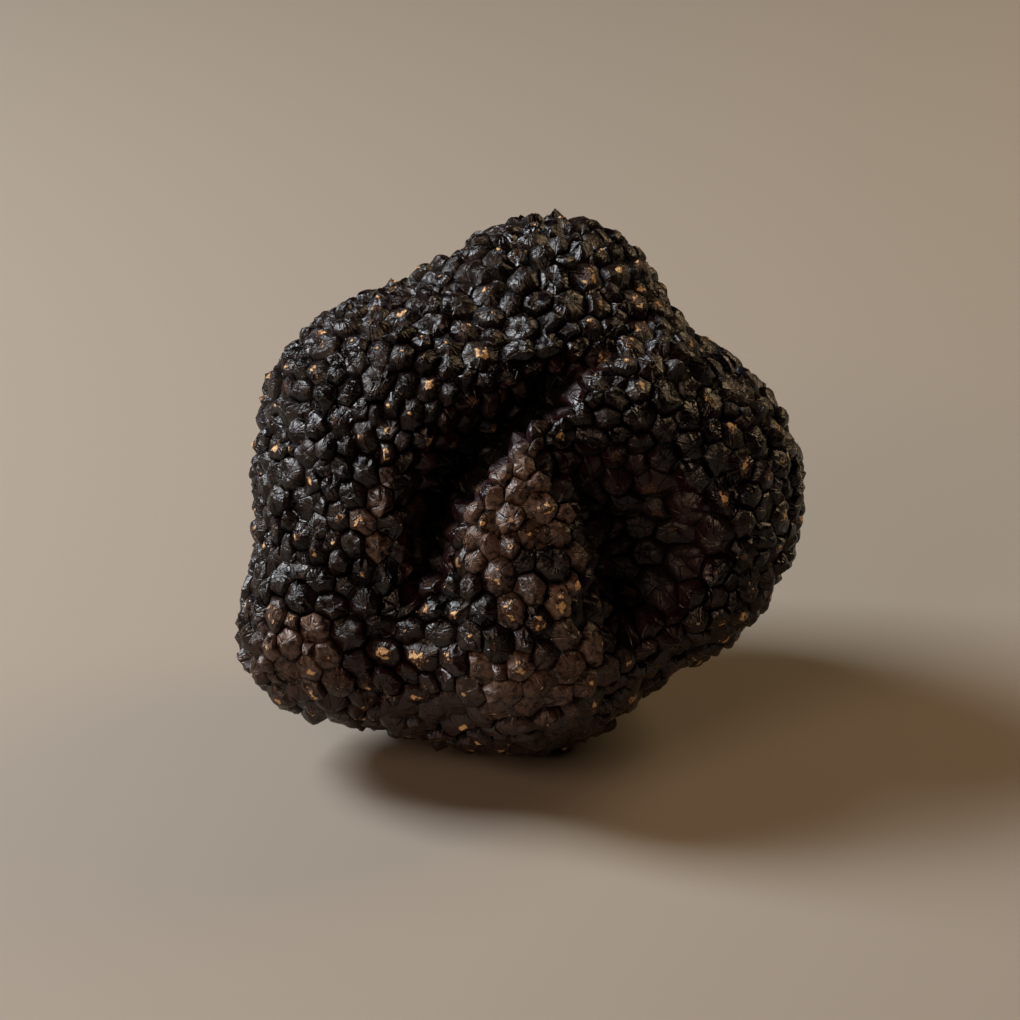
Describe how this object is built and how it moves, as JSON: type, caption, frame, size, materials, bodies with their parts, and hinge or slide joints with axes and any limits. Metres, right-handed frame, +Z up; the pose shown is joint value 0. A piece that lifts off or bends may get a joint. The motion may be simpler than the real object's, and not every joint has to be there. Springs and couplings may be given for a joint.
{
  "type": "black truffle",
  "caption": "Whole black truffle: a lumpy underground fungus with a deep fold, a hollow and a rind of polygonal warts, resting on a small flat spot.",
  "frame": {"origin": "middle of the base of the truffle's box, on the plane that it rests on", "axes": "+Z up as it rests, +X across its longest extent, -Y out of the furrowed face"},
  "size_m": [0.0548, 0.0494, 0.0496],
  "materials": {
    "rind": "near-black warty rind with a satin sheen, dark brown in its folds, with a few pale tan wart tips"
  },
  "bodies": {
    "root": {"truffle": "rind"}
  },
  "joints": []
}
